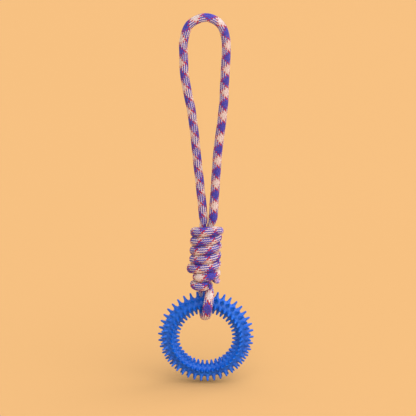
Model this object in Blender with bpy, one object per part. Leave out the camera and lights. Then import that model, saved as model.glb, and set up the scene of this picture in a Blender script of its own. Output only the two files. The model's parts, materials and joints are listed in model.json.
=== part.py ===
"""Dog chew ring: a studded rubber ring hung in the bight of a knotted, braided rope with a long handle loop.

Lengths are in metres and +Z is up. The origin is the underside of the handle loop's top, where a hand or a
hook holds the toy, and everything else hangs below it. The studded ring lies in the XZ plane.
"""

import math

import bmesh
import bpy
from mathutils import Vector

MM = 0.001

# Driving sizes
OVERALL_LENGTH = 430 * MM
RING_TIP_DIAMETER = 105 * MM
RUNNING_GAP = 0.3 * MM

# Studded ring
RING_TUBE_DIAMETER = 12.7 * MM
STUD_HEIGHT_OUTSIDE = 6.86 * MM
STUD_HEIGHT_INSIDE = 5.34 * MM
STUD_TIP_SHARE = 0.45
STUD_ROWS = 6
STUDS_PER_ROW = 42
OUTER_ROW_ANGLE = math.radians(-17)
FIRST_STUD_ANGLE = math.radians(6.5)

# Rope, round where it is free and flattened where it bears on the ring's studs
ROPE_DIAMETER = 9.5 * MM
TAIL_DIAMETER_SHARE = 0.70
SADDLE_THICKNESS = 7.0 * MM
SADDLE_WIDTH = 10.4 * MM

# Knot: the rope wound round its own two legs, which it squeezes thinner
WINDING_DIAMETER = 34.7 * MM
WINDING_TURN_GAP = 1.1 * MM
WINDING_CROSSINGS = 6
WINDING_START_TURNS = 0.04
CUT_END_LENGTH = 14.0 * MM
WINDING_END_TURNS = 0.08
WINDING_DIVE_ANGLE = math.radians(35)
DIVE_LENGTH = 6.0 * MM
SLACK_TURN_BULGE = 2.6 * MM
SLACK_TURN_PLACE = 4.3
SLACK_TURN_SPREAD = 0.16
WINDING_LEAN = 0.22
KNOT_TOP_SHIFT = 0.4 * MM
KNOT_FOOT_SHIFT = -1.5 * MM
ROOM_ABOVE_WINDING = 1.4 * MM
ROOM_BELOW_WINDING = 7.3 * MM

# Handle loop: its widest half width, and where its two legs meet the knot
LOOP_HALF_WIDTH = 24.2 * MM
HANDLE_FOOT_SHIFT = 2.55 * MM
HANDLE_LEG_GAP = 0.8 * MM

# Ring bight: its two legs leave the knot one before the other
BIGHT_LEG_GAP = 0.5 * MM
BIGHT_FOOT_SHIFT = 3.0 * MM
BIGHT_RING_GAP = 0.65 * MM
BIGHT_THIN_ANGLE = math.radians(60)
BIGHT_SLANT = 4.2 * MM

# Fineness
OVAL_SIDES = 12
TUBE_BEVEL_STEPS = 3
WINDING_BEVEL_STEPS = 1
LOOP_POINTS = 24
HANDLE_ROUTE_STEP = 8 * MM
KNOT_ROUTE_STEP = 4 * MM
FACES_PER_STUD = 2
SHARP_EDGE_ANGLE = math.radians(30)

# Sections of a ball end, as shares of its radius counted out from its middle
BALL_SECTION_SHARES = (0.50, 0.82, 0.97)

rope_radius = ROPE_DIAMETER / 2
tail_radius = rope_radius * TAIL_DIAMETER_SHARE
tube_radius = RING_TUBE_DIAMETER / 2


def stud_height(around):
    """Height of a stud at an angle round the rubber tube, counted from straight outwards."""
    middle = (STUD_HEIGHT_OUTSIDE + STUD_HEIGHT_INSIDE) / 2
    return middle + (STUD_HEIGHT_OUTSIDE - STUD_HEIGHT_INSIDE) / 2 * math.cos(around)


ring_radius = RING_TIP_DIAMETER / 2 - (tube_radius + stud_height(OUTER_ROW_ANGLE)) * math.cos(OUTER_ROW_ANGLE)
ring_centre_z = ROPE_DIAMETER - OVERALL_LENGTH + RING_TIP_DIAMETER / 2
tube_top_z = ring_centre_z + ring_radius
foot_hinge_z = tube_top_z + tube_radius + STUD_HEIGHT_OUTSIDE + RUNNING_GAP + rope_radius
winding_radius = (WINDING_DIAMETER - ROPE_DIAMETER) / 2
winding_pitch = ROPE_DIAMETER + WINDING_TURN_GAP
last_crossing_z = foot_hinge_z + ROPE_DIAMETER + ROOM_BELOW_WINDING
first_crossing_z = last_crossing_z + (WINDING_CROSSINGS - 1) * winding_pitch
top_hinge_z = first_crossing_z + ROPE_DIAMETER + ROOM_ABOVE_WINDING
core_spread = (winding_radius - rope_radius - RUNNING_GAP / 2) / 2
core_radius = core_spread - RUNNING_GAP / 2
handle_leg_spread = (ROPE_DIAMETER + HANDLE_LEG_GAP) / 2
bight_leg_spread = (ROPE_DIAMETER + BIGHT_LEG_GAP) / 2
core_top_z = top_hinge_z - rope_radius - RUNNING_GAP
core_foot_z = foot_hinge_z + rope_radius + RUNNING_GAP

# The handle's route, from the right foot over the top to the left foot: shares of the loop's half width,
# counted from the middle, and of its height, counted down from its top. The feet follow their own sizes.
HANDLE_ROUTE_SHARES = [
    (0.401, 0.875), (0.467, 0.768), (0.545, 0.656), (0.678, 0.545), (0.798, 0.429), (0.845, 0.313),
    (0.905, 0.190), (0.893, 0.105), (0.620, 0.030), (-0.020, 0.000), (-0.720, 0.034), (-0.985, 0.112),
    (-0.998, 0.170), (-0.955, 0.285), (-0.764, 0.400), (-0.649, 0.462), (-0.512, 0.574), (-0.401, 0.696),
    (-0.275, 0.820),
]

# The bight's route round the rubber tube: degrees from its top towards the front, and sideways shares of
# the slant. Its two ends follow the spacing of the legs.
BIGHT_ROUTE_SHARES = [
    (40, 0.95), (62, 0.72), (90, 0.42), (120, 0.14), (150, -0.10), (180, -0.32), (210, -0.55),
    (240, -0.76), (270, -0.86), (298, -0.70), (320, -0.20),
]

# The strand tucked across the front below the winding, from the left: shares of the winding's radius for
# X and Y, and of the pitch, counted down from the last crossing.
TUCK_ROUTE_SHARES = [
    (-0.88, -0.42, 1.09), (-0.78, -0.72, 1.09), (-0.52, -0.98, 1.07), (-0.20, -1.12, 1.02), (0.02, -1.16, 0.96),
]

# The short tail that sticks out low on the right, in the same shares.
TAIL_ROUTE_SHARES = [
    (0.94, 0.16, 0.86), (1.01, 0.00, 0.82), (1.06, -0.22, 0.76),
]


def clear_scene():
    for thing in list(bpy.data.objects):
        bpy.data.objects.remove(thing, do_unlink=True)


def finish_material(name, colour, roughness):
    material = bpy.data.materials.new(name)
    material.use_nodes = True
    shader = material.node_tree.nodes["Principled BSDF"]
    shader.inputs["Base Color"].default_value = (*colour, 1.0)
    shader.inputs["Roughness"].default_value = roughness
    shader.inputs["Metallic"].default_value = 0.0
    return material


def add_object(name, data, material, parent):
    thing = bpy.data.objects.new(name, data)
    data.materials.append(material)
    bpy.context.collection.objects.link(thing)
    if parent is not None:
        thing.parent = parent
        thing.matrix_parent_inverse = parent.matrix_world.inverted()
    return thing


def add_pivot(name, place):
    pivot = bpy.data.objects.new(name, None)
    pivot.empty_display_size = rope_radius
    bpy.context.collection.objects.link(pivot)
    pivot.location = place
    bpy.context.view_layer.update()
    return pivot


def smooth_route(points, step):
    """Points at about one step apart on a smooth curve through the given points."""
    ends = [2 * points[0] - points[1]] + list(points) + [2 * points[-1] - points[-2]]
    route = []
    for before, start, end, after in zip(ends, ends[1:], ends[2:], ends[3:]):
        pieces = max(1, round((end - start).length / step))
        for piece in range(pieces):
            t = piece / pieces
            route.append(
                0.5 * (2 * start + (end - before) * t + (2 * before - 5 * start + 4 * end - after) * t ** 2
                       + (3 * start - before - 3 * end + after) * t ** 3)
            )
    route.append(points[-1].copy())
    return route


def rounded_ends(route, radius):
    """Adds a ball end, centred on each end of the route, as shrinking sections; gives places and radii."""
    places = list(route)
    radii = [radius] * len(places)
    start_way = (route[0] - route[1]).normalized()
    end_way = (route[-1] - route[-2]).normalized()
    for share in BALL_SECTION_SHARES:
        narrow = radius * math.sqrt(1 - share ** 2)
        places.insert(0, route[0] + start_way * radius * share)
        radii.insert(0, narrow)
        places.append(route[-1] + end_way * radius * share)
        radii.append(narrow)
    return places, radii


def tube_curve(name, places, radii, bevel_steps, material, parent):
    """A round tube with filled ends along the places, as a bevelled curve."""
    curve = bpy.data.curves.new(name, "CURVE")
    curve.dimensions = "3D"
    curve.bevel_mode = "ROUND"
    curve.bevel_depth = 1.0
    curve.bevel_resolution = bevel_steps
    curve.use_fill_caps = True
    curve.twist_mode = "MINIMUM"
    spline = curve.splines.new("POLY")
    spline.points.add(len(places) - 1)
    for point, place, radius in zip(spline.points, places, radii):
        point.co = (*place, 1.0)
        point.radius = radius
    return add_object(name, curve, material, parent)


def knot_axis(z):
    """Where the middle of the knot is at a height: it leans a little to the left towards its foot."""
    down = (first_crossing_z - z) / (first_crossing_z - last_crossing_z)
    return KNOT_TOP_SHIFT + (KNOT_FOOT_SHIFT - KNOT_TOP_SHIFT) * min(max(down, 0.0), 1.0)


def winding_point(turns):
    """A point of the winding, counted in turns from where it first crosses the front. Its turns lean back."""
    angle = -math.pi / 2 - 2 * math.pi * turns
    z = first_crossing_z - winding_pitch * turns
    slack = SLACK_TURN_BULGE * math.exp(-((turns - SLACK_TURN_PLACE) / SLACK_TURN_SPREAD) ** 2)
    radius = winding_radius + slack
    y = radius * math.sin(angle)
    return Vector((knot_axis(z) + radius * math.cos(angle), y, z - WINDING_LEAN * (y + winding_radius)))


def winding_route():
    """The winding from its cut end at the top right to the end that dives in at the lower left."""
    first = -WINDING_START_TURNS
    last = WINDING_CROSSINGS - 1 + WINDING_END_TURNS
    count = round((last - first) * LOOP_POINTS)
    turns = [first + (last - first) * k / count for k in range(count + 1)]
    route = [winding_point(t) for t in turns]
    start_way = route[0] - route[1]
    start_way.z = 0.0
    end_way = (route[-1] - route[-2]).normalized()
    inward = Vector((knot_axis(route[-1].z), 0.0, route[-1].z)) - route[-1]
    inward = (inward - end_way * inward.dot(end_way)).normalized()
    dive = end_way * math.cos(WINDING_DIVE_ANGLE) + inward * math.sin(WINDING_DIVE_ANGLE)
    route.insert(0, route[0] + start_way.normalized() * CUT_END_LENGTH)
    route.append(route[-1] + dive * DIVE_LENGTH)
    return route


def print_least_gap(route):
    """Measures how near the winding comes to itself, between points at least half a turn apart."""
    least = min(
        (route[a] - route[b]).length
        for a in range(len(route))
        for b in range(a + LOOP_POINTS // 2, len(route))
    )
    print(f"knot_winding: least gap to itself {(least - ROPE_DIAMETER) / MM:.2f} mm")


def handle_route():
    height = rope_radius - top_hinge_z
    points = [Vector((HANDLE_FOOT_SHIFT + handle_leg_spread, 0.0, top_hinge_z))]
    for across, down in HANDLE_ROUTE_SHARES:
        points.append(Vector((across * LOOP_HALF_WIDTH, 0.0, rope_radius - down * height)))
    points.append(Vector((HANDLE_FOOT_SHIFT - handle_leg_spread, 0.0, top_hinge_z)))
    return smooth_route(points, HANDLE_ROUTE_STEP)


def core_route(side):
    """One leg through the knot. The pair starts side by side and ends one before the other."""
    steps = LOOP_POINTS // 2
    route = []
    for k in range(steps + 1):
        along = k / steps
        angle = math.pi / 2 * along
        z = core_top_z + (core_foot_z - core_top_z) * along
        across = side * core_spread * math.cos(angle)
        route.append(Vector((knot_axis(z) + across, -side * core_spread * math.sin(angle), z)))
    return route


def knot_shares_route(shares):
    points = [
        Vector((KNOT_FOOT_SHIFT + x * winding_radius, y * winding_radius, last_crossing_z - down * winding_pitch))
        for x, y, down in shares
    ]
    return smooth_route(points, KNOT_ROUTE_STEP)


def bight_half_thickness(turned):
    """The rope is round where it leaves the knot and pressed flat where it bears on the studs."""
    from_top = min(turned, 2 * math.pi - turned)
    share = min(from_top / BIGHT_THIN_ANGLE, 1.0)
    share = share * share * (3 - 2 * share)
    return rope_radius + (SADDLE_THICKNESS / 2 - rope_radius) * share


def bight_half_width(turned):
    from_top = min(turned, 2 * math.pi - turned)
    share = min(from_top / BIGHT_THIN_ANGLE, 1.0)
    return rope_radius + (SADDLE_WIDTH / 2 - rope_radius) * share


def bight_sections():
    """Middle, half thickness and half width of each section of the bight, from the front leg to the back."""
    front = Vector((BIGHT_FOOT_SHIFT, -bight_leg_spread, foot_hinge_z))
    back = Vector((BIGHT_FOOT_SHIFT, bight_leg_spread, foot_hinge_z))
    points = [front]
    for degrees, across in BIGHT_ROUTE_SHARES:
        turned = math.radians(degrees)
        away = tube_radius + stud_height(turned) + BIGHT_RING_GAP + bight_half_thickness(turned)
        points.append(
            Vector((across * BIGHT_SLANT, -away * math.sin(turned), tube_top_z + away * math.cos(turned)))
        )
    points.append(back)
    sections = []
    for place in smooth_route(points, KNOT_ROUTE_STEP):
        turned = math.atan2(-place.y, place.z - tube_top_z) % (2 * math.pi)
        sections.append((place, bight_half_thickness(turned), bight_half_width(turned)))
    return sections


def loft_bight(name, sections, material, parent):
    """Joins oval sections into one closed solid with ball ends, by bridging loops of edges."""
    places = [place for place, _, _ in sections]
    rings = []
    for k, (place, thick, wide) in enumerate(sections):
        way = (places[min(k + 1, len(places) - 1)] - places[max(k - 1, 0)]).normalized()
        rings.append((place, way, thick, wide))
    first_place, first_way, first_thick, first_wide = rings[0]
    last_place, last_way, last_thick, last_wide = rings[-1]
    for share in BALL_SECTION_SHARES:
        narrow = math.sqrt(1 - share ** 2)
        rings.insert(0, (first_place - first_way * rope_radius * share, first_way,
                         first_thick * narrow, first_wide * narrow))
        rings.append((last_place + last_way * rope_radius * share, last_way,
                      last_thick * narrow, last_wide * narrow))
    mesh = bmesh.new()
    loops = []
    for place, way, thick, wide in rings:
        outward = Vector((0.0, place.y, place.z - tube_top_z))
        outward = (outward - way * outward.dot(way)).normalized()
        sideways = way.cross(outward)
        turn = [2 * math.pi * side / OVAL_SIDES for side in range(OVAL_SIDES)]
        loops.append([
            mesh.verts.new(place + outward * thick * math.cos(a) + sideways * wide * math.sin(a)) for a in turn
        ])
    for here, there in zip(loops, loops[1:]):
        for side in range(OVAL_SIDES):
            after = (side + 1) % OVAL_SIDES
            mesh.faces.new((here[side], here[after], there[after], there[side]))
    mesh.faces.new(loops[0])
    mesh.faces.new(loops[-1])
    bmesh.ops.recalc_face_normals(mesh, faces=mesh.faces)
    data = bpy.data.meshes.new(name)
    mesh.to_mesh(data)
    mesh.free()
    data.shade_smooth()
    return add_object(name, data, material, parent)


def make_ring(name, material, parent):
    """The rubber tube with its rows of studs, which stand on every second face both ways."""
    sides = STUD_ROWS * FACES_PER_STUD
    segments = STUDS_PER_ROW * FACES_PER_STUD
    centre = Vector((0.0, 0.0, ring_centre_z))

    def tube_middle(angle):
        return centre + Vector((math.cos(angle), 0.0, math.sin(angle))) * ring_radius

    def on_tube(angle, around, radius):
        out = Vector((math.cos(angle), 0.0, math.sin(angle))) * math.cos(around)
        return tube_middle(angle) + (out - Vector((0.0, 1.0, 0.0)) * math.sin(around)) * radius

    mesh = bmesh.new()
    grid = []
    for segment in range(segments):
        angle = FIRST_STUD_ANGLE + 2 * math.pi * (segment - 0.5) / segments
        arounds = [OUTER_ROW_ANGLE + 2 * math.pi * (side - 0.5) / sides for side in range(sides)]
        grid.append([mesh.verts.new(on_tube(angle, around, tube_radius)) for around in arounds])
    stud_faces = []
    for segment in range(segments):
        here, there = grid[segment], grid[(segment + 1) % segments]
        for side in range(sides):
            after = (side + 1) % sides
            face = mesh.faces.new((here[side], there[side], there[after], here[after]))
            if segment % FACES_PER_STUD == 0 and side % FACES_PER_STUD == 0:
                stud_faces.append(face)
    bmesh.ops.recalc_face_normals(mesh, faces=mesh.faces)
    tips = bmesh.ops.extrude_discrete_faces(mesh, faces=stud_faces)["faces"]
    for tip in tips:
        middle = tip.calc_center_median()
        flat = Vector((middle.x, 0.0, middle.z)) - centre
        angle = math.atan2(flat.z, flat.x)
        around = math.atan2(-middle.y, flat.length - ring_radius)
        goal = on_tube(angle, around, tube_radius + stud_height(around))
        for corner in tip.verts:
            corner.co = goal + (corner.co - middle) * STUD_TIP_SHARE
    bmesh.ops.recalc_face_normals(mesh, faces=mesh.faces)
    data = bpy.data.meshes.new(name)
    mesh.to_mesh(data)
    mesh.free()
    data.set_sharp_from_angle(angle=SHARP_EDGE_ANGLE)
    return add_object(name, data, material, parent)


def main():
    clear_scene()
    rubber = finish_material("blue_rubber", (0.010, 0.115, 0.620), 0.42)
    braid = finish_material("purple_braid", (0.160, 0.105, 0.430), 0.85)
    braid_dark = finish_material("purple_braid_core", (0.110, 0.070, 0.300), 0.90)
    braid_light = finish_material("lilac_braid_end", (0.560, 0.440, 0.620), 0.85)

    handle_pivot = add_pivot("hang_point", (0.0, 0.0, 0.0))
    knot_pivot = add_pivot("handle_bend_axis", (0.0, 0.0, top_hinge_z))
    bight_pivot = add_pivot("ring_sway_axis", (BIGHT_FOOT_SHIFT, 0.0, foot_hinge_z))
    ring_pivot = add_pivot("ring_turn_axis", (0.0, 0.0, ring_centre_z))
    for child, parent in ((knot_pivot, handle_pivot), (bight_pivot, knot_pivot), (ring_pivot, bight_pivot)):
        child.parent = parent
        child.matrix_parent_inverse = parent.matrix_world.inverted()
    bpy.context.view_layer.update()

    handle_places, handle_radii = rounded_ends(handle_route(), rope_radius)
    tube_curve("handle_loop", handle_places, handle_radii, TUBE_BEVEL_STEPS, braid, handle_pivot)

    winding = winding_route()
    print_least_gap(winding)
    winding_radii = [rope_radius] * len(winding)
    tube_curve("knot_winding", winding, winding_radii, WINDING_BEVEL_STEPS, braid, knot_pivot)
    for name, side in (("knot_core_front_leg", 1), ("knot_core_back_leg", -1)):
        route = core_route(side)
        tube_curve(name, route, [core_radius] * len(route), TUBE_BEVEL_STEPS, braid_dark, knot_pivot)
    tuck_places, tuck_radii = rounded_ends(knot_shares_route(TUCK_ROUTE_SHARES), rope_radius)
    tube_curve("knot_tucked_strand", tuck_places, tuck_radii, TUBE_BEVEL_STEPS, braid, knot_pivot)
    tail_places, tail_radii = rounded_ends(knot_shares_route(TAIL_ROUTE_SHARES), tail_radius)
    tube_curve("knot_tail_end", tail_places, tail_radii, TUBE_BEVEL_STEPS, braid_light, knot_pivot)

    loft_bight("ring_bight", bight_sections(), braid, bight_pivot)
    make_ring("chew_ring", rubber, ring_pivot)

    print(f"overall length {(ROPE_DIAMETER - ring_centre_z + RING_TIP_DIAMETER / 2) / MM:.1f} mm")
    print(f"hinges at z {top_hinge_z / MM:.2f} mm and {foot_hinge_z / MM:.2f} mm, ring middle {ring_centre_z / MM:.2f}")
    route = handle_route()
    length = sum((b - a).length for a, b in zip(route, route[1:]))
    print(f"handle loop {length / MM:.0f} mm of rope")


main()
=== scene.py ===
# %% [markdown]
# # Dog chew ring
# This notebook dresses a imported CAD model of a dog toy: a studded rubber ring that hangs in the bight of a
# braided rope, whose two ends make a knot and a long handle loop. The CAD model gives every place and size.
# Here each stretch of plain CAD tube gets its real braid, and the ring gets its moulded studs.

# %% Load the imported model
import json
import math

import bmesh
import bpy
import numpy as np
from mathutils import Matrix, Vector, noise


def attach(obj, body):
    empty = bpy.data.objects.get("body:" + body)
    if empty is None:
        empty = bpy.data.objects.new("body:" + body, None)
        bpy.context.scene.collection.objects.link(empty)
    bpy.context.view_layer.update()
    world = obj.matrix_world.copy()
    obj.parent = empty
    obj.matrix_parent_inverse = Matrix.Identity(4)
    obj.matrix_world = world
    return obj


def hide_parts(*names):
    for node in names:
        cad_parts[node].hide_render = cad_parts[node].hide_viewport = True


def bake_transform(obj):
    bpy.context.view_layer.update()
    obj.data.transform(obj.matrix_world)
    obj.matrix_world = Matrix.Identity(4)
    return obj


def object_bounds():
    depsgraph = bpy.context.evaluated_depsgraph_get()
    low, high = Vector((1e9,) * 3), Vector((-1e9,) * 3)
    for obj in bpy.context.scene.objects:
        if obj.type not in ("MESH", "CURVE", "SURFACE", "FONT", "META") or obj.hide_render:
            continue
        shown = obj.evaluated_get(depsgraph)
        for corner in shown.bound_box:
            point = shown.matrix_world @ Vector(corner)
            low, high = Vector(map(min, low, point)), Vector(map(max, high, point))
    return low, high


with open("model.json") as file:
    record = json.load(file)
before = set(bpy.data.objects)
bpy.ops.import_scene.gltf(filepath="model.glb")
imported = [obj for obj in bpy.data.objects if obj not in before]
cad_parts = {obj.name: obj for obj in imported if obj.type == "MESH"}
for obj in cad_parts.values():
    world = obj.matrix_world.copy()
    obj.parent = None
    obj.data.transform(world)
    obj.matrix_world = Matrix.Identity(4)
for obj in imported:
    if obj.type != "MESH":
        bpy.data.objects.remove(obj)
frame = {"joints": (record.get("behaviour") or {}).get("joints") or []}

MM = 0.001
bpy.context.view_layer.update()
cad_low, cad_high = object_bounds()
print("CAD model, mm:", [round(side / MM, 1) for side in cad_high - cad_low])

# %% [markdown]
# The photograph was taken with a long lens from straight in front and about 21.5 degrees above. A long lens
# keeps the rope's two legs almost the same width from top to foot, so the camera stands far back.

# %% Camera
CAMERA_AIM = Vector((2.3, 0.0, -217.0)) * MM
CAMERA_HEIGHT_ANGLE = math.radians(21.5)
CAMERA_DISTANCE = 12.0
VIEW_WIDTH = 453.6 * MM
SENSOR_MM = 36.0
CAMERA_REACH = 50.0

camera_data = bpy.data.cameras.new("camera")
camera_data.sensor_width = SENSOR_MM
camera_data.lens = SENSOR_MM * CAMERA_DISTANCE / VIEW_WIDTH
camera_data.clip_end = CAMERA_REACH
camera = bpy.data.objects.new("camera", camera_data)
bpy.context.collection.objects.link(camera)
from_aim = Vector((0.0, -math.cos(CAMERA_HEIGHT_ANGLE), math.sin(CAMERA_HEIGHT_ANGLE)))
camera.location = CAMERA_AIM + from_aim * CAMERA_DISTANCE
camera.rotation_euler = (math.pi / 2 - CAMERA_HEIGHT_ANGLE, 0.0, 0.0)
bpy.context.scene.camera = camera
bpy.context.scene.view_settings.view_transform = "Standard"
print(f"lens {camera_data.lens:.0f} mm")

# %% [markdown]
# Materials are made of shader nodes. Colours are given as sRGB hex values, but the shader works on
# linear light, so one function turns one into the other. A second small function adds a node with its
# settings and its links, which keeps each material down to a few readable lines.

# %% Helpers for materials
def linear(hex_colour):
    """An sRGB hex colour as linear red, green, blue and full alpha."""
    values = [int(hex_colour[k:k + 2], 16) / 255 for k in (1, 3, 5)]
    return [v / 12.92 if v <= 0.04045 else ((v + 0.055) / 1.055) ** 2.4 for v in values] + [1.0]


def add_node(tree, kind, links=None, inputs=None, **settings):
    """Adds a shader node. links maps its sockets to output sockets, inputs maps them to plain values."""
    node = tree.nodes.new("ShaderNode" + kind)
    for name, value in settings.items():
        setattr(node, name, value)
    for name, value in (inputs or {}).items():
        node.inputs[name].default_value = value
    for name, source in (links or {}).items():
        tree.links.new(source, node.inputs[name])
    return node


def new_material(name, roughness, ior, **shader_values):
    """A material with its Principled shader; gives the material, its node tree and the shader."""
    material = bpy.data.materials.new(name)
    material.use_nodes = True
    tree = material.node_tree
    shader = tree.nodes["Principled BSDF"]
    shader.inputs["Roughness"].default_value = roughness
    shader.inputs["IOR"].default_value = ior
    for socket, value in shader_values.items():
        shader.inputs[socket.replace("_", " ")].default_value = value
    return material, tree, shader


# %% [markdown]
# ## Yarn
# The rope is braided from polypropylene yarn. Each yarn is a flat bundle of fine filaments that were dyed in
# the melt, so its colour is even, and it has a soft sheen at a shallow angle. The filaments lie in fine lines
# along the yarn, and the shade in the grooves between them is painted into the colour as darker lines. The
# lines follow each yarn, so the pattern reads the piece's UV map, where U runs round the yarn and V along it.
# Real filaments are 0.04 mm thick, far too fine to show, so they are drawn as plies of about 0.25 mm.

# %% Yarn materials
PLIES_ROUND_YARN = 16
WAVE_TEXTURE_STEP = math.pi / 10
YARN_IOR = 1.49


def yarn_material(name, colour, painted_ply_shade, light):
    """Polypropylene multifilament yarn in one dyed colour, with painted shade in the grooves between its plies.
    """
    material, tree, shader = new_material(
        name, 0.62, YARN_IOR, Sheen_Weight=0.35, Sheen_Roughness=0.45, Specular_IOR_Level=0.35)
    shader.inputs["Sheen Tint"].default_value = linear(light)
    uv = add_node(tree, "UVMap", uv_map="yarn")
    place = add_node(tree, "TexCoord").outputs["Object"]
    plies = add_node(tree, "TexWave", {"Vector": uv.outputs["UV"]}, {
        "Scale": PLIES_ROUND_YARN * WAVE_TEXTURE_STEP, "Distortion": 1.6, "Detail": 2.0, "Detail Scale": 1.4},
        wave_type="BANDS", bands_direction="X", wave_profile="SIN")
    patches = add_node(tree, "TexNoise", {"Vector": place}, {"Scale": 420.0, "Detail": 3.0})
    # The ramp paints shade into the grooves between the plies, and the yarn's own colour on their tops.
    ply_ramp = add_node(tree, "ValToRGB", {"Fac": plies.outputs["Fac"]})
    ply_ramp.color_ramp.elements[0].position = 0.08
    ply_ramp.color_ramp.elements[0].color = linear(painted_ply_shade)
    ply_ramp.color_ramp.elements[1].position = 0.55
    ply_ramp.color_ramp.elements[1].color = linear(colour)
    tint = add_node(tree, "Mix", data_type="RGBA", blend_type="MIX")
    patch_ramp = add_node(tree, "MapRange", {"Value": patches.outputs["Fac"]}, {
        "From Min": 0.45, "From Max": 0.80, "To Min": 0.0, "To Max": 0.45})
    tree.links.new(patch_ramp.outputs["Result"], tint.inputs["Factor"])
    tree.links.new(ply_ramp.outputs["Color"], tint.inputs["A"])
    tint.inputs["B"].default_value = linear(light)
    tree.links.new(tint.outputs["Result"], shader.inputs["Base Color"])
    bump = add_node(tree, "Bump", {"Height": plies.outputs["Fac"]}, {"Strength": 0.5, "Distance": 0.08 * MM})
    tree.links.new(bump.outputs["Normal"], shader.inputs["Normal"])
    return material


# Each yarn: its dyed colour, the painted shade between its plies, and a lighter tint for its sheen and random
# patches.
purple_yarn = yarn_material("purple_polypropylene_yarn", "#4e47c4", "#1e165c", "#8488ee")
cream_yarn = yarn_material("cream_polypropylene_yarn", "#fae4d3", "#a183a0", "#fff7ea")
crimson_yarn = yarn_material("crimson_polypropylene_yarn", "#c4264c", "#7a1434", "#e66c86")

# %% [markdown]
# Between the yarns one sees into the hollow of the braid. A dark inner tube stands there for the yarn bodies
# that cross under each other in shade, so its dark colour is painted shade, and it stops light from leaking
# through the rope.

# %% Inside of the rope, in painted shade
hollow_shade, tree, shader = new_material("braid_inside_painted_shade", 0.9, YARN_IOR)
depths = add_node(tree, "TexNoise", {"Vector": add_node(tree, "TexCoord").outputs["Object"]}, {"Scale": 700.0})
ramp = add_node(tree, "ValToRGB", {"Fac": depths.outputs["Fac"]})
# Near-black violets: painted shade for the yarns deep inside the braid.
ramp.color_ramp.elements[0].color = linear("#140c30")
ramp.color_ramp.elements[1].color = linear("#35244c")
tree.links.new(ramp.outputs["Color"], shader.inputs["Base Color"])

# %% [markdown]
# ## Braid stock
# The rope is a tubular braid of 24 yarns, 12 winding each way, where every yarn goes over one and under
# one. Round the rope each set has 5 purple yarns, 1 crimson, 5 cream and 1 crimson, and where the two sets
# cross, that order makes the purple and cream diamonds with crimson crosses between them. The dyed yarns are
# a little thicker than the cream ones. I make the stock straight first: each yarn is a helix whose radius
# waves in and out, as a curve with a flat section. Then the finished mesh is bent along any route, just as a
# real rope is braided straight and bent later.

# %% Sizes of the braid
ROPE_DIAMETER = 9.5 * MM
BRAID_PITCH = 27.15 * MM
YARNS_EACH_WAY = 12
PURPLE_YARNS = (0, 1, 2, 3, 4)
CRIMSON_YARNS = (5, 11)
MIDDLE_PURPLE_YARN = 2
YARN_WIDTH = 2.0 * MM
YARN_THICKNESS = 0.74 * MM
YARN_WAVE = 0.28 * MM
YARN_SECTION_SHARES = [(0.5, -0.32), (0.24, 0.5), (-0.24, 0.5), (-0.5, -0.32)]
DYED_YARN_GROWTH = 1.12
FLOAT_STRAIGHTENING = 0.8
POINTS_PER_WAVE = 4
MERGE_DISTANCE = 0.001 * MM
HOLLOW_DEPTH_SHARE = 0.35
HOLLOW_SIDES = 8
PURPLE, CREAM, CRIMSON, HOLLOW = range(4)

rope_radius = ROPE_DIAMETER / 2
yarn_middle_radius = rope_radius - YARN_THICKNESS / 2 - YARN_WAVE
hollow_radius = yarn_middle_radius - YARN_THICKNESS * HOLLOW_DEPTH_SHARE
print(f"radius to the yarns {yarn_middle_radius / MM:.2f} mm, radius of the hollow {hollow_radius / MM:.2f} mm")


# %% Yarn section and hollow
def yarn_section():
    """The yarn's section: a flat oval, as a closed curve that the yarn's own curve is bevelled with."""
    data = bpy.data.curves.new("yarn_section", "CURVE")
    data.dimensions = "2D"
    line = data.splines.new("POLY")
    line.points.add(len(YARN_SECTION_SHARES) - 1)
    for point, (across, out) in zip(line.points, YARN_SECTION_SHARES):
        point.co = (-out * YARN_THICKNESS, across * YARN_WIDTH, 0.0, 1.0)
    line.use_cyclic_u = True
    section = bpy.data.objects.new("yarn_section", data)
    bpy.context.collection.objects.link(section)
    return section


def add_hollow(mesh, first_turn, last_turn):
    """Adds the dark inner tube of painted shade to a stretch of braid: a circle, spun with a rise and no turn,
    and closed.
    """
    steps = round((last_turn - first_turn) * YARNS_EACH_WAY)
    rise = (last_turn - first_turn) * BRAID_PITCH / steps
    tube = bmesh.new()
    start = Matrix.Translation((0.0, 0.0, first_turn * BRAID_PITCH))
    circle = bmesh.ops.create_circle(tube, segments=HOLLOW_SIDES, radius=hollow_radius, matrix=start)
    edges = list(dict.fromkeys(edge for corner in circle["verts"] for edge in corner.link_edges))
    last = bmesh.ops.spin(tube, geom=edges, axis=(0.0, 0.0, 1.0), cent=(0.0, 0.0, 0.0), angle=0.0,
                          dvec=(0.0, 0.0, rise), steps=steps)["geom_last"]
    last_edges = [part for part in last if isinstance(part, bmesh.types.BMEdge)]
    bmesh.ops.contextual_create(tube, geom=edges)
    bmesh.ops.contextual_create(tube, geom=last_edges)
    bmesh.ops.recalc_face_normals(tube, faces=tube.faces)
    for face in tube.faces:
        face.material_index = HOLLOW
        face.smooth = True
    tube.from_mesh(mesh)
    tube.to_mesh(mesh)
    tube.free()


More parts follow.
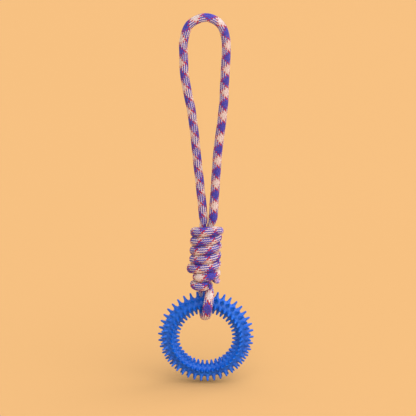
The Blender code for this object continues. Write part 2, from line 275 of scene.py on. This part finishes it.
# %% Straight braid
def straight_braid(first_turn, last_turn):
    """A stretch of braid along Z from first_turn to last_turn pitches, as a mesh.

    The caps of the yarns are merged with their sides, so that each yarn is one closed skin facing outwards.
    """
    section = yarn_section()
    data = bpy.data.curves.new("braid", "CURVE")
    data.dimensions = "3D"
    data.twist_mode = "Z_UP"
    data.bevel_mode = "OBJECT"
    data.bevel_object = section
    data.use_fill_caps = True
    for material in (purple_yarn, cream_yarn, crimson_yarn, hollow_shade):
        data.materials.append(material)
    steps = round((last_turn - first_turn) * YARNS_EACH_WAY * POINTS_PER_WAVE)
    turns = np.linspace(first_turn, last_turn, steps + 1)
    for way in (1, -1):
        radius = yarn_middle_radius + way * YARN_WAVE * np.cos(2 * np.pi * YARNS_EACH_WAY * turns)
        for yarn in range(YARNS_EACH_WAY):
            sway = FLOAT_STRAIGHTENING * np.sin(2 * np.pi * YARNS_EACH_WAY * turns) / YARNS_EACH_WAY
            angle = 2 * np.pi * ((yarn - MIDDLE_PURPLE_YARN) / YARNS_EACH_WAY + way * turns) - sway
            line = data.splines.new("POLY")
            line.points.add(steps)
            line.points.foreach_set("co", np.stack(
                [radius * np.cos(angle), radius * np.sin(angle), turns * BRAID_PITCH, np.ones(steps + 1)],
                axis=1).ravel())
            colour = PURPLE if yarn in PURPLE_YARNS else CRIMSON if yarn in CRIMSON_YARNS else CREAM
            growth = 1.0 if colour == CREAM else DYED_YARN_GROWTH
            line.material_index = colour
            line.points.foreach_set("radius", np.full(steps + 1, growth))
    thing = bpy.data.objects.new("braid", data)
    bpy.context.collection.objects.link(thing)
    bpy.context.view_layer.update()
    mesh = bpy.data.meshes.new_from_object(thing.evaluated_get(bpy.context.evaluated_depsgraph_get()))
    bpy.data.objects.remove(thing)
    bpy.data.objects.remove(section)
    yarns = bmesh.new()
    yarns.from_mesh(mesh)
    bmesh.ops.remove_doubles(yarns, verts=yarns.verts, dist=MERGE_DISTANCE)
    bmesh.ops.recalc_face_normals(yarns, faces=yarns.faces)
    yarns.to_mesh(mesh)
    yarns.free()
    layer = mesh.uv_layers[0]
    layer.name = "yarn"
    marks = np.empty(2 * len(mesh.loops))
    layer.data.foreach_get("uv", marks)
    yarn_widths_long = (last_turn - first_turn) * BRAID_PITCH / YARN_WIDTH
    marks[0::2], marks[1::2] = marks[1::2], marks[0::2] * yarn_widths_long
    layer.data.foreach_set("uv", marks)
    add_hollow(mesh, first_turn, last_turn)
    return mesh


sample = straight_braid(0, 1)
reach = max(math.hypot(v.co.x, v.co.y) for v in sample.vertices)
print(f"one pitch of braid: {len(sample.polygons)} faces, {2 * reach / MM:.2f} mm across")
bpy.data.meshes.remove(sample)

# %% [markdown]
# ## Bending the stock
# A route is a list of points that the rope's middle follows, with a facing direction at each point. Each
# vertex of the straight stock keeps its place in the section and moves to the route's section at its own
# height. The turn of the pattern round the rope, and how far the rope is squeezed thin or wide, may change
# along the route, as they do where a real rope is pulled tight.

# %% Routes and bending
def smooth_line(points, step):
    """Points about one step apart on a smooth curve through the given ones."""
    points = [Vector(p) for p in points]
    ends = [2 * points[0] - points[1]] + points + [2 * points[-1] - points[-2]]
    line = []
    for before, start, end, after in zip(ends, ends[1:], ends[2:], ends[3:]):
        pieces = max(1, round((end - start).length / step))
        for piece in range(pieces):
            t = piece / pieces
            line.append(0.5 * (
                2 * start + (end - before) * t + (2 * before - 5 * start + 4 * end - after) * t ** 2
                + (3 * start - before - 3 * end + after) * t ** 3))
    line.append(points[-1].copy())
    return np.array(line)


def run_of(line):
    """How far along the line each of its points is."""
    return np.concatenate([[0.0], np.cumsum(np.linalg.norm(np.diff(line, axis=0), axis=1))])


def unit(vectors):
    """Each of the vectors, made one long."""
    return vectors / np.linalg.norm(vectors, axis=1, keepdims=True)


def bend_braid(name, line, facing, turns, quarter=0.0, thick=1.0, wide=1.0):
    """Bends braid stock along a line. facing is the way that the section's front keeps to, turns the count
    of pitches at each point, quarter how many degrees round from the front the diamonds lie, and thick and
    wide scale the section towards the front and across it."""
    mesh = straight_braid(turns[0], turns[-1])
    places = np.empty(3 * len(mesh.vertices))
    mesh.vertices.foreach_get("co", places)
    out, across, rise = places.reshape(-1, 3).T
    at = rise / BRAID_PITCH

    def here(values):
        """The values, given at each point of the line, at each vertex of the stock."""
        values = np.asarray(values, float)
        if values.ndim == 0:
            return values
        if values.ndim == 1:
            return np.interp(at, turns, values)
        return np.stack([np.interp(at, turns, column) for column in values.T], axis=1)

    along = unit(np.gradient(line, axis=0))
    front = unit(facing - along * np.sum(facing * along, axis=1, keepdims=True))
    side = np.cross(along, front)
    turned = np.radians(here(quarter))
    to_front = (out * np.cos(turned) - across * np.sin(turned)) * here(thick)
    to_side = (out * np.sin(turned) + across * np.cos(turned)) * here(wide)
    moved = here(line) + here(front) * to_front[:, None] + here(side) * to_side[:, None]
    mesh.vertices.foreach_set("co", moved.ravel())
    mesh.update()
    mesh.name = name
    thing = bpy.data.objects.new(name, mesh)
    bpy.context.collection.objects.link(thing)
    print(f"{name}: {run_of(line)[-1] / MM:.0f} mm of rope, {len(mesh.polygons)} faces")
    return thing


# %% [markdown]
# ## Handle loop
# The handle is one free stretch of rope. It leaves the knot on the right, goes up and over the top, where a
# hand holds it, and comes back to the knot on the left. The route repeats the CAD model's: shares of the
# loop's half width, and of its height counted down from the top. Inside the knot the two legs are squeezed
# thinner. The diamonds' places were read off the photograph: 18 pitches lie between the two feet. The rope
# is limp, so it bends with the hinge at the knot's top, and both its legs go on for a way into the knot.

# %% Handle sizes
joint_place = {joint["name"]: Vector(joint["pos_m"]) for joint in frame["joints"]}
top_hinge_z = joint_place["handle_bend"].z
foot_hinge_z = joint_place["ring_sway"].z

LOOP_HALF_WIDTH = 24.2 * MM
HANDLE_FOOT_SHIFT = 2.55 * MM
HANDLE_LEG_SPREAD = 5.15 * MM
HANDLE_ROUTE_SHARES = [
    (0.401, 0.875), (0.467, 0.768), (0.545, 0.656), (0.678, 0.545), (0.798, 0.429), (0.845, 0.313),
    (0.905, 0.190), (0.893, 0.105), (0.620, 0.030), (-0.020, 0.000), (-0.720, 0.034), (-0.985, 0.112),
    (-0.998, 0.170), (-0.955, 0.285), (-0.764, 0.400), (-0.649, 0.462), (-0.512, 0.574), (-0.401, 0.696),
    (-0.275, 0.820),
]
KNOT_TOP_SHIFT = 0.4 * MM
KNOT_FOOT_SHIFT = -1.5 * MM
CORE_SPREAD = 3.85 * MM
CORE_DIAMETER = 7.4 * MM
HANDLE_DEPTH_IN_KNOT = 12.0 * MM
RIGHT_LEG_SHIFT_IN_KNOT = 1.4 * MM
LEFT_LEG_SHIFT_IN_KNOT = 0.2 * MM
FIRST_DIAMOND_ABOVE_FOOT = 0.85 * MM
DIAMOND_SHIFTS = [(-1, 2.8), (0, 2.8), (4, 0.0), (7, -0.8), (8, 0.0), (9, -1.5), (10, -2.3), (12, -2.3),
                  (13, 0.0), (19, 0.0)]
ROPE_TWIST = [(0, 12), (4, 24), (7.5, 42), (8.2, 55), (9, 70), (10, 66), (11, 67), (14, 70), (14.8, 90),
              (18, 90)]
ROUTE_STEP = 2.0 * MM

# %% Handle route
squeezed = CORE_DIAMETER / ROPE_DIAMETER
height = rope_radius - top_hinge_z
inside_z = top_hinge_z - HANDLE_DEPTH_IN_KNOT
halfway_z = top_hinge_z - HANDLE_DEPTH_IN_KNOT / 2
points = [
    (KNOT_TOP_SHIFT + CORE_SPREAD, 0.0, inside_z),
    (KNOT_TOP_SHIFT + CORE_SPREAD + RIGHT_LEG_SHIFT_IN_KNOT, 0.0, halfway_z),
    (HANDLE_FOOT_SHIFT + HANDLE_LEG_SPREAD, 0.0, top_hinge_z),
]
points += [(x * LOOP_HALF_WIDTH, 0.0, rope_radius - down * height) for x, down in HANDLE_ROUTE_SHARES]
points += [
    (HANDLE_FOOT_SHIFT - HANDLE_LEG_SPREAD, 0.0, top_hinge_z),
    (KNOT_TOP_SHIFT - CORE_SPREAD + LEFT_LEG_SHIFT_IN_KNOT, 0.0, halfway_z),
    (KNOT_TOP_SHIFT - CORE_SPREAD, 0.0, inside_z),
]
line = smooth_line(points, ROUTE_STEP)
run = run_of(line)
print(f"handle route: {len(line)} points, {run[-1] / MM:.0f} mm")

# %% Handle rope
to_viewer = np.tile((0.0, -1.0, 0.0), (len(line), 1))
first_diamond = HANDLE_DEPTH_IN_KNOT + FIRST_DIAMOND_ABOVE_FOOT
turns = np.interp(run, [first_diamond + turn * BRAID_PITCH + shift * MM for turn, shift in DIAMOND_SHIFTS],
                  [turn for turn, shift in DIAMOND_SHIFTS])
quarter = np.interp(turns, *zip(*ROPE_TWIST))
depth = np.clip((top_hinge_z - line[:, 2]) / (HANDLE_DEPTH_IN_KNOT / 2), 0.0, 1.0)
tightness = 1.0 + (squeezed - 1.0) * depth
handle_rope = bend_braid("handle_rope", line, to_viewer, turns, quarter, tightness, tightness)
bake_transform(handle_rope)
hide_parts("handle_loop")

# %% [markdown]
# ## Winding
# The knot is the rope wound round its own two legs, six times across the front. The pattern faces outwards
# with its crosses, and the diamonds lie on the upper and lower edges of each turn. On the last turn the rope
# rolls, and its diamonds come round to the front. A wound rope is packed shorter on the inside of its bend,
# so about three and a half pitches go into a turn. Pulled tight round the legs it is pressed a little wider
# than it is thick, so that the turns close up. The fifth turn is slack and bulges on the left.

# %% Winding sizes
WINDING_RADIUS = 12.6 * MM
WINDING_TURN_RISE = 10.6 * MM
WINDING_CROSSINGS = 6
WINDING_START_TURNS = 0.04
CUT_END_LENGTH = 14.0 * MM
WINDING_END_TURNS = 0.08
WINDING_DIVE_ANGLE = math.radians(35)
DIVE_LENGTH = 6.0 * MM
WINDING_LEAN = 0.22
SLACK_TURN_BULGE = 2.6 * MM
SLACK_TURN_PLACE = 4.3
SLACK_TURN_SPREAD = 0.16
ROOM_BELOW_WINDING = 7.3 * MM
POINTS_PER_TURN = 48
END_STEPS = (0.25, 0.5, 0.75, 1.0)
CUT_END_NARROWING = 0.72
PITCHES_AT_FRONT = (-2.5, 0.90, 4.29, 7.65, 11.12, 14.74, 18.28, 21.8)
WINDING_TWIST = [(4.3, 111.5), (4.9, 20.0)]
WINDING_SPREAD = 1.1

# %% Winding route
last_crossing_z = foot_hinge_z + ROPE_DIAMETER + ROOM_BELOW_WINDING
first_crossing_z = last_crossing_z + (WINDING_CROSSINGS - 1) * WINDING_TURN_RISE


def knot_axis(z):
    """Where the middle of the knot is at a height: it leans a little to the left towards its foot."""
    down = (first_crossing_z - z) / (first_crossing_z - last_crossing_z)
    return KNOT_TOP_SHIFT + (KNOT_FOOT_SHIFT - KNOT_TOP_SHIFT) * min(max(down, 0.0), 1.0)


def winding_point(turn):
    """Where the rope's middle is after so many turns from the first crossing at the front."""
    angle = -math.pi / 2 - 2 * math.pi * turn
    z = first_crossing_z - WINDING_TURN_RISE * turn
    slack = SLACK_TURN_BULGE * math.exp(-((turn - SLACK_TURN_PLACE) / SLACK_TURN_SPREAD) ** 2)
    radius = WINDING_RADIUS + slack
    y = radius * math.sin(angle)
    return Vector((knot_axis(z) + radius * math.cos(angle), y, z - WINDING_LEAN * (y + WINDING_RADIUS)))


first = -WINDING_START_TURNS
last = WINDING_CROSSINGS - 1 + WINDING_END_TURNS
count = round((last - first) * POINTS_PER_TURN)
turn_of = [first + (last - first) * k / count for k in range(count + 1)]
line = [winding_point(turn) for turn in turn_of]
start_way = line[0] - line[1]
start_way.z = 0.0
start_way.normalize()
end_way = (line[-1] - line[-2]).normalized()
inward = Vector((knot_axis(line[-1].z), 0.0, line[-1].z)) - line[-1]
inward = (inward - end_way * inward.dot(end_way)).normalized()
dive = end_way * math.cos(WINDING_DIVE_ANGLE) + inward * math.sin(WINDING_DIVE_ANGLE)
turns_per_length = 1 / (2 * math.pi * WINDING_RADIUS)
cut_end_place = line[0] + start_way * CUT_END_LENGTH
cut_end_way = start_way
outward = [Vector((place.x - knot_axis(place.z), place.y, 0.0)) for place in line]
outward = [outward[0]] * len(END_STEPS) + outward + [outward[-1]] * len(END_STEPS)
turn_of = ([first - CUT_END_LENGTH * turns_per_length * share for share in reversed(END_STEPS)] + turn_of
           + [last + DIVE_LENGTH * turns_per_length * share for share in END_STEPS])
line = ([line[0] + start_way * CUT_END_LENGTH * share for share in reversed(END_STEPS)] + line
        + [line[-1] + dive * DIVE_LENGTH * share for share in END_STEPS])
line = np.array(line)

# %% Winding rope
turns = np.interp(turn_of, range(-1, len(PITCHES_AT_FRONT) - 1), PITCHES_AT_FRONT)
quarter = np.interp(turn_of, *zip(*WINDING_TWIST))
narrowing = np.interp(turn_of, [turn_of[0], turn_of[2]], [CUT_END_NARROWING, 1.0])
winding_rope = bend_braid(
    "winding_rope", line, np.array(outward), turns, quarter, narrowing, narrowing * WINDING_SPREAD)
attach(winding_rope, "knot")
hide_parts("knot_winding")

# %% [markdown]
# ## Core legs and bight
# Below the handle the two legs run down through the knot side by side, give each other a quarter turn and
# come out one before the other. There they are one loop, the bight, that holds the ring. It is pressed flat
# where it bears on the studs, so its section is an oval that grows wide there. The loop sways under the
# knot.

# %% Core and bight sizes
RING_TUBE_DIAMETER = 12.7 * MM
STUD_HEIGHT_OUTSIDE = 6.86 * MM
STUD_HEIGHT_INSIDE = 5.34 * MM
BIGHT_LEG_SPREAD = 5.0 * MM
BIGHT_FOOT_SHIFT = 3.0 * MM
BIGHT_RING_GAP = 0.65 * MM
KNOT_RING_GAP = 0.3 * MM
BIGHT_THIN_ANGLE = math.radians(60)
BIGHT_SLANT = 4.2 * MM
SADDLE_THICKNESS = 7.0 * MM
SADDLE_WIDTH = 10.4 * MM
BIGHT_ROUTE_SHARES = [
    (40, 0.95), (62, 0.72), (90, 0.42), (120, 0.14), (150, -0.10), (180, -0.32), (210, -0.55),
    (240, -0.76), (270, -0.86), (298, -0.70), (320, -0.20),
]
CORE_TOP_DEPTH = 13.0 * MM
CORE_SHARES = (0.0, 0.2, 0.4, 0.6, 0.8)
PURPLE_DIAMOND_Z = -327.0 * MM

tube_radius = RING_TUBE_DIAMETER / 2
tube_top_z = foot_hinge_z - rope_radius - KNOT_RING_GAP - STUD_HEIGHT_OUTSIDE - tube_radius
print(f"middle of the ring's tube under the knot: z {tube_top_z / MM:.1f} mm")


# %% Bight section
def stud_height(around):
    """Height of a stud at an angle round the rubber tube, counted from straight outwards."""
    middle = (STUD_HEIGHT_OUTSIDE + STUD_HEIGHT_INSIDE) / 2
    return middle + (STUD_HEIGHT_OUTSIDE - STUD_HEIGHT_INSIDE) / 2 * math.cos(around)


def bearing(turned):
    """How far the rope is pressed flat, from 0 to 1, at an angle round the tube from its top."""
    return min(min(turned, 2 * math.pi - turned) / BIGHT_THIN_ANGLE, 1.0)


def half_thickness(turned):
    """Half the rope's thickness at an angle round the tube from its top."""
    share = bearing(turned)
    return rope_radius + (SADDLE_THICKNESS / 2 - rope_radius) * share * share * (3 - 2 * share)


# %% Core and bight rope
def core_point(side, share):
    """A point of the right leg (side 1) or left leg (side -1) inside the knot, a share of the way down."""
    z = top_hinge_z - CORE_TOP_DEPTH
    z += (foot_hinge_z + rope_radius - z) * share
    angle = math.pi / 2 * share
    return (knot_axis(z) + side * CORE_SPREAD * math.cos(angle), -side * CORE_SPREAD * math.sin(angle), z)


points = [core_point(1, share) for share in CORE_SHARES]
points.append((BIGHT_FOOT_SHIFT, -BIGHT_LEG_SPREAD, foot_hinge_z))
for degrees, across in BIGHT_ROUTE_SHARES:
    turned = math.radians(degrees)
    away = tube_radius + stud_height(turned) + BIGHT_RING_GAP + half_thickness(turned)
    points.append((across * BIGHT_SLANT, -away * math.sin(turned), tube_top_z + away * math.cos(turned)))
points.append((BIGHT_FOOT_SHIFT, BIGHT_LEG_SPREAD, foot_hinge_z))
points += [core_point(-1, share) for share in reversed(CORE_SHARES)]
line = smooth_line(points, ROUTE_STEP)
run = run_of(line)
outward, thick, wide = [], [], []
for k, (x, y, z) in enumerate(line):
    if z > foot_hinge_z:
        front_leg = k < len(line) / 2
        outward.append((0.0, -1.0 if front_leg else 1.0, 0.0))
        share = min((z - foot_hinge_z) / rope_radius, 1.0)
        thick.append(1.0 + (squeezed - 1.0) * share)
        wide.append(1.0 + (squeezed - 1.0) * share)
    else:
        turned = math.atan2(-y, z - tube_top_z) % (2 * math.pi)
        outward.append((0.0, y, z - tube_top_z))
        thick.append(half_thickness(turned) / rope_radius)
        wide.append(1.0 + (SADDLE_WIDTH / ROPE_DIAMETER - 1.0) * bearing(turned))
purple_diamond = int(np.argmax(line[:, 2] < PURPLE_DIAMOND_Z))
turns = (run - run[purple_diamond]) / BRAID_PITCH
bight_rope = bend_braid("bight_rope", line, np.array(outward), turns, 0.0, thick, wide)
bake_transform(bight_rope)
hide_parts("ring_bight", "knot_core_front_leg", "knot_core_back_leg")

# %% [markdown]
# ## Tucked strand and tail
# The end of the winding is pulled across the front under the last turn, and a short tail of it sticks out
# low on the right. Both are short stretches of the same braid, pulled tight at their ends.

# %% Tucked strand and tail
TUCK_ROUTE_SHARES = [
    (-0.88, -0.42, 1.09), (-0.78, -0.72, 1.09), (-0.52, -0.98, 1.07), (-0.20, -1.12, 1.02), (0.02, -1.16, 0.96),
]
TAIL_ROUTE_SHARES = [(0.94, 0.16, 0.86), (1.01, 0.00, 0.82), (1.06, -0.22, 0.76)]
TAIL_DIAMETER_SHARE = 0.70
TUCK_FIRST_TURN = 0.705
TUCK_TWIST = 70.0
TUCK_END_NARROWING = 0.72
TAIL_FIRST_TURN = 0.30
TAIL_LENGTH_INSIDE = 2.0 * MM
TAIL_LENGTH_OUTSIDE = 2.4 * MM
END_ROUND = 4.0 * MM


def knot_line(shares):
    """A line through shares of the winding's radius, and of its rise a turn counted down."""
    return [
        (KNOT_FOOT_SHIFT + x * WINDING_RADIUS, y * WINDING_RADIUS, last_crossing_z - down * WINDING_TURN_RISE)
        for x, y, down in shares]


def lengthened(points, before, after):
    """The points with a straight end added at each end."""
    points = [Vector(p) for p in points]
    head = points[0] + (points[0] - points[1]).normalized() * before
    tail = points[-1] + (points[-1] - points[-2]).normalized() * after
    return [head] + points + [tail]


line = smooth_line(lengthened(knot_line(TUCK_ROUTE_SHARES), END_ROUND, END_ROUND), ROUTE_STEP / 2)
run = run_of(line)
outward = np.array([(x - KNOT_FOOT_SHIFT, y, 0.0) for x, y, z in line])
turns = TUCK_FIRST_TURN + run / BRAID_PITCH
narrowing = np.interp(run, [0.0, END_ROUND, run[-1] - END_ROUND, run[-1]],
                      [TUCK_END_NARROWING, 1.0, 1.0, TUCK_END_NARROWING])
tucked_rope = bend_braid("tucked_rope", line, outward, turns, TUCK_TWIST, narrowing, narrowing)
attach(tucked_rope, "knot")
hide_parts("knot_tucked_strand")

line = smooth_line(lengthened(knot_line(TAIL_ROUTE_SHARES), TAIL_LENGTH_INSIDE, TAIL_LENGTH_OUTSIDE),
                   ROUTE_STEP / 2)
run = run_of(line)
outward = np.array([(x - KNOT_FOOT_SHIFT, y, 0.0) for x, y, z in line])
turns = TAIL_FIRST_TURN + run / BRAID_PITCH
tail_rope = bend_braid("tail_rope", line, outward, turns, 0.0, TAIL_DIAMETER_SHARE, TAIL_DIAMETER_SHARE)
tail_end_place = Vector(line[-1])
tail_end_way = Vector(line[-1] - line[-2]).normalized()

# %% [markdown]
# ## Cut ends
# A polypropylene rope is cut with a hot knife, which melts the yarns together into a small lumpy plug that
# keeps the braid from coming apart. The plug shows all the yarns' colours, paler where the melt is thin. It
# starts as a flattened ball, and noise pushes its points about.

# %% Melted end
sealed_end, tree, shader = new_material("melted_polypropylene_end", 0.42, YARN_IOR, Specular_IOR_Level=0.5)
place = add_node(tree, "TexCoord").outputs["Object"]
spots = add_node(tree, "TexVoronoi", {"Vector": place}, {"Scale": 620.0, "Randomness": 0.9})
ramp = add_node(tree, "ValToRGB", {"Fac": add_node(tree, "SeparateColor", {
    "Color": spots.outputs["Color"]}).outputs["Red"]})
ramp.color_ramp.interpolation = "CONSTANT"
ramp.color_ramp.elements[0].color = linear("#a08ac4")
ramp.color_ramp.elements[1].position = 0.30
ramp.color_ramp.elements[1].color = linear("#d0b0c0")
ramp.color_ramp.elements.new(0.62).color = linear("#7c69b6")
ramp.color_ramp.elements.new(0.86).color = linear("#a65a80")
tree.links.new(ramp.outputs["Color"], shader.inputs["Base Color"])
melt = add_node(tree, "TexNoise", {"Vector": place}, {"Scale": 900.0, "Detail": 2.0})
bump = add_node(tree, "Bump", {"Height": melt.outputs["Fac"]}, {"Strength": 0.6, "Distance": 0.2 * MM})
tree.links.new(bump.outputs["Normal"], shader.inputs["Normal"])

# %% Cut ends
END_SIDES = 20
END_RINGS = 8
TAIL_BULGE = 0.9 * MM
CUT_END_BULGE = 1.8 * MM
LUMP_HEIGHT = 0.35 * MM
LUMP_SIZE = 2.2 * MM
LUMP_SEED = 4
PLUG_SHARE = 0.94


def cut_end(name, place, way, radius, bulge):
    """A melted plug, bulging out along way from the end of a rope."""
    mesh = bmesh.new()
    bmesh.ops.create_uvsphere(mesh, u_segments=END_SIDES, v_segments=END_RINGS, radius=1.0)
    bmesh.ops.scale(mesh, vec=(radius, radius, bulge), verts=mesh.verts)
    noise.seed_set(LUMP_SEED)
    for vertex in mesh.verts:
        vertex.co += noise.noise_vector(vertex.co / LUMP_SIZE) * LUMP_HEIGHT
    turn = Vector((0.0, 0.0, 1.0)).rotation_difference(way).to_matrix().to_4x4()
    bmesh.ops.transform(mesh, matrix=Matrix.Translation(place) @ turn, verts=mesh.verts)
    bmesh.ops.recalc_face_normals(mesh, faces=mesh.faces)
    data = bpy.data.meshes.new(name)
    mesh.to_mesh(data)
    mesh.free()
    data.shade_smooth()
    data.materials.append(sealed_end)
    thing = bpy.data.objects.new(name, data)
    bpy.context.collection.objects.link(thing)
    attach(thing, "knot")
    print(f"{name}: {len(data.polygons)} faces, {2 * radius / MM:.1f} mm across")


plug_radius = rope_radius * PLUG_SHARE
cut_end("winding_cut_end", cut_end_place, cut_end_way, plug_radius * CUT_END_NARROWING, CUT_END_BULGE)
cut_end("tail_cut_end", tail_end_place, tail_end_way, plug_radius * TAIL_DIAMETER_SHARE, TAIL_BULGE)
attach(tail_rope, "knot")
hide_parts("knot_tail_end")

# %% [markdown]
# ## Chew ring
# The ring is thermoplastic rubber, moulded in one shot: a thick tube closed into a ring, covered with six
# rows of blunt studs that clean the dog's teeth. It is coloured through, and its soft skin has a satin
# shine with broad, pale highlights. A smooth tube is spun round the ring's axis first, then one stud is
# spun from its profile and set down at every place, a little shorter on the inside of the ring. Each stud
# stands on a broad foot that flows into the tube, and the tube is drawn a little fuller than its bare size,
# which rounds the corners between the feet.

# %% Ring rubber
RUBBER_IOR = 1.52
rubber, tree, shader = new_material("moulded_thermoplastic_rubber", 0.36, RUBBER_IOR, Specular_IOR_Level=0.38)
place = add_node(tree, "TexCoord").outputs["Object"]
clouds = add_node(tree, "TexNoise", {"Vector": place}, {"Scale": 60.0, "Detail": 3.0})
ramp = add_node(tree, "ValToRGB", {"Fac": clouds.outputs["Fac"]})
ramp.color_ramp.elements[0].position = 0.3
ramp.color_ramp.elements[0].color = linear("#0053ba")
ramp.color_ramp.elements[1].position = 0.7
ramp.color_ramp.elements[1].color = linear("#0264d0")
tree.links.new(ramp.outputs["Color"], shader.inputs["Base Color"])
skin = add_node(tree, "TexNoise", {"Vector": place}, {"Scale": 1500.0, "Detail": 2.0})
rough = add_node(tree, "MapRange", {"Value": skin.outputs["Fac"]}, {
    "From Min": 0.3, "From Max": 0.7, "To Min": 0.30, "To Max": 0.44})
tree.links.new(rough.outputs["Result"], shader.inputs["Roughness"])
bump = add_node(tree, "Bump", {"Height": skin.outputs["Fac"]}, {"Strength": 0.25, "Distance": 0.05 * MM})
tree.links.new(bump.outputs["Normal"], shader.inputs["Normal"])

# %% Stud sizes
STUD_ROWS = 6
STUDS_PER_ROW = 42
OUTER_ROW_ANGLE = math.radians(-17)
FIRST_STUD_ANGLE = math.radians(6.5)
STUD_SIDES = 8
STUD_FOOT_RADIUS = 3.3 * MM
STUD_PROFILE = [(0.0, -0.12), (1.0, -0.12), (0.82, 0.05), (0.65, 0.18), (0.50, 0.34), (0.41, 0.58),
                (0.34, 0.84), (0.21, 0.97), (0.0, 1.0)]

ring_centre = joint_place["ring_turn"]
ring_radius = tube_top_z - ring_centre.z
print(f"ring radius to the tube's middle: {ring_radius / MM:.2f} mm")


# %% Row of studs
def row_of_studs(row):
    """One stud, spun from its profile on the origin and set down on the tube, then spun on round the ring.

    The underside closes the stud inside the tube and stays flat, and the rest is smooth.
    """
    around = OUTER_ROW_ANGLE + 2 * math.pi * row / STUD_ROWS
    height = stud_height(around)
    spoke = Vector((math.cos(FIRST_STUD_ANGLE), 0.0, math.sin(FIRST_STUD_ANGLE)))
    out = spoke * math.cos(around) - Vector((0.0, 1.0, 0.0)) * math.sin(around)
    mesh = bmesh.new()
    corners = [mesh.verts.new((x * STUD_FOOT_RADIUS, 0.0, z * height)) for x, z in STUD_PROFILE]
    edges = [mesh.edges.new(pair) for pair in zip(corners, corners[1:])]
    bmesh.ops.spin(mesh, geom=edges, axis=(0.0, 0.0, 1.0), cent=(0.0, 0.0, 0.0), angle=2 * math.pi,
                   steps=STUD_SIDES, use_merge=True)
    bmesh.ops.remove_doubles(mesh, verts=mesh.verts, dist=MERGE_DISTANCE)
    bmesh.ops.recalc_face_normals(mesh, faces=mesh.faces)
    for face in mesh.faces:
        face.smooth = face.normal.z > 0.0
    turn = Vector((0.0, 0.0, 1.0)).rotation_difference(out).to_matrix().to_4x4()
    place = ring_centre + spoke * ring_radius + out * tube_radius
    bmesh.ops.transform(mesh, matrix=Matrix.Translation(place) @ turn, verts=mesh.verts)
    step = 2 * math.pi / STUDS_PER_ROW
    bmesh.ops.spin(mesh, geom=mesh.verts[:] + mesh.edges[:] + mesh.faces[:], axis=(0.0, 1.0, 0.0),
                   cent=ring_centre, angle=2 * math.pi - step, steps=STUDS_PER_ROW - 1, use_duplicate=True)
    data = bpy.data.meshes.new("row_of_studs")
    mesh.to_mesh(data)
    mesh.free()
    return data


# %% Studded ring
TUBE_SIDES = 28
TUBE_STEPS = 168
ROUNDING_BETWEEN_STUDS = 0.3 * MM

ring = bmesh.new()
to_the_side = Matrix.Translation(ring_centre + Vector((ring_radius, 0.0, 0.0)))
circle = bmesh.ops.create_circle(
    ring, segments=TUBE_SIDES, radius=tube_radius + ROUNDING_BETWEEN_STUDS, matrix=to_the_side)
edges = list(dict.fromkeys(edge for corner in circle["verts"] for edge in corner.link_edges))
bmesh.ops.spin(ring, geom=edges, axis=(0.0, 1.0, 0.0), cent=ring_centre, angle=2 * math.pi,
               steps=TUBE_STEPS, use_merge=True)
bmesh.ops.recalc_face_normals(ring, faces=ring.faces)
for face in ring.faces:
    face.smooth = True
for row in range(STUD_ROWS):
    studs = row_of_studs(row)
    ring.from_mesh(studs)
    bpy.data.meshes.remove(studs)
data = bpy.data.meshes.new("studded_ring")
ring.to_mesh(data)
ring.free()
data.materials.append(rubber)
studded_ring = bpy.data.objects.new("studded_ring", data)
bpy.context.collection.objects.link(studded_ring)
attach(studded_ring, "ring")
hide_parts("chew_ring")
print(f"studded_ring: {len(data.polygons)} faces, {STUD_ROWS * STUDS_PER_ROW} studs")

# %% [markdown]
# ## Floor and light
# The toy stands on its ring on seamless paper in a warm peach tone. A large soft light from the upper right
# of the camera does most of the work, an even sky opens the shadows, and the paper's own colour fills in.

# %% Floor
FLOOR_SIDE = 14.0
FLOOR_GAP = 0.2 * MM
PAPER_IOR = 1.45

paper, tree, shader = new_material("matt_background_paper", 0.9, PAPER_IOR, Specular_IOR_Level=0.15)
fibre = add_node(tree, "TexNoise", {"Vector": add_node(tree, "TexCoord").outputs["Object"]}, {
    "Scale": 3.0, "Detail": 2.0})
ramp = add_node(tree, "ValToRGB", {"Fac": fibre.outputs["Fac"]})
ramp.color_ramp.elements[0].color = linear("#d9a86c")
ramp.color_ramp.elements[1].color = linear("#d8a76a")
tree.links.new(ramp.outputs["Color"], shader.inputs["Base Color"])
sheet = bmesh.new()
bmesh.ops.create_grid(sheet, x_segments=1, y_segments=1, size=FLOOR_SIDE / 2,
                      matrix=Matrix.Translation((0.0, 0.0, cad_low.z - FLOOR_GAP)))
data = bpy.data.meshes.new("floor")
sheet.to_mesh(data)
sheet.free()
data.materials.append(paper)
floor = bpy.data.objects.new("floor", data)
bpy.context.collection.objects.link(floor)

# %% Lights
KEY_STRENGTH = 3.2
KEY_ANGLE = math.radians(120)
KEY_DIRECTION = Vector((-1.9, 1.2, -1.6))
SKY_STRENGTH = 0.8

key = bpy.data.lights.new("key", "SUN")
key.energy = KEY_STRENGTH
key.angle = KEY_ANGLE
key_lamp = bpy.data.objects.new("key", key)
bpy.context.collection.objects.link(key_lamp)
key_lamp.rotation_euler = KEY_DIRECTION.to_track_quat("-Z", "Y").to_euler()
world = bpy.data.worlds.new("studio")
world.use_nodes = True
bpy.context.scene.world = world
background = world.node_tree.nodes["Background"]
background.inputs["Color"].default_value = linear("#f4f5ff")
background.inputs["Strength"].default_value = SKY_STRENGTH
